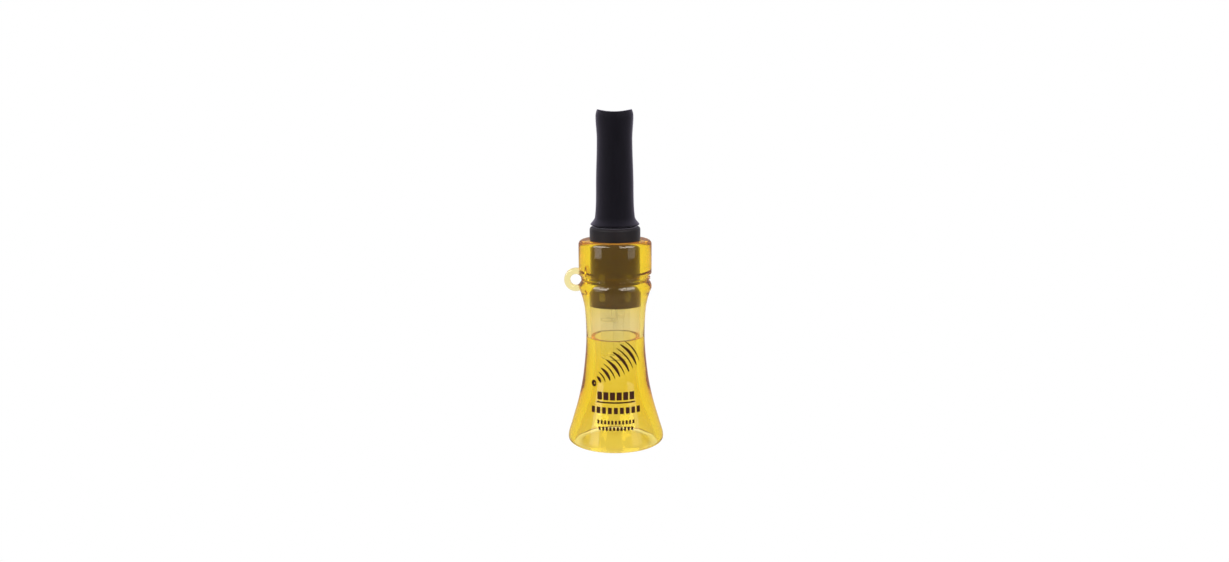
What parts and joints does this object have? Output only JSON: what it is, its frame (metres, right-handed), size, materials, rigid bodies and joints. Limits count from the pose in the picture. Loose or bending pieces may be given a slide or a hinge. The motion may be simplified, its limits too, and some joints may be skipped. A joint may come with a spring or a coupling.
{
  "type": "crow call",
  "caption": "Blown game call: flared amber barrel with a lanyard loop, a black stopper holding a reed on a clear tone board, and a rubber mouth tube.",
  "frame": {"origin": "centre of the bell's rim, on the surface that the call stands on", "axes": "+Z along the barrel towards the mouth tube, -Y the printed front, the lanyard loop on -X"},
  "size_m": [0.0416, 0.0406, 0.1395],
  "materials": {
    "amber_plastic": "clear amber, polished",
    "black_plastic": "satin",
    "black_rubber": "matte",
    "clear_plastic": "clear, moulded",
    "reed_film": "milky film",
    "wedge_plastic": "clear, moulded"
  },
  "bodies": {
    "barrel": {"barrel": "amber_plastic"},
    "stopper": {"stopper": "black_plastic"},
    "mouth_tube": {"mouth_tube": "black_rubber"},
    "tone_board": {"tone_board": "clear_plastic", "reed_wedge": "wedge_plastic"},
    "reed": {"reed": "reed_film"}
  },
  "joints": [
    {"name": "stopper_slide", "type": "slide", "parent": "barrel", "child": "stopper", "axis": [0, 0, 1], "range_m": [0, 0.028]},
    {"name": "mouth_tube_slide", "type": "slide", "parent": "stopper", "child": "mouth_tube", "axis": [0, 0, 1], "range_m": [0, 0.024]},
    {"name": "tone_board_slide", "type": "slide", "parent": "stopper", "child": "tone_board", "axis": [0, 0, -1], "range_m": [0, 0.019]},
    {"name": "reed_flex", "type": "hinge", "parent": "tone_board", "child": "reed", "pos_m": [-0.0003, -0.00005, 0.0775], "axis": [-0.1736, 0.9848, 0], "range_deg": [-2, 2.1], "stiffness_Nm_per_rad": 0.01, "deforming": ["reed"]}
  ]
}
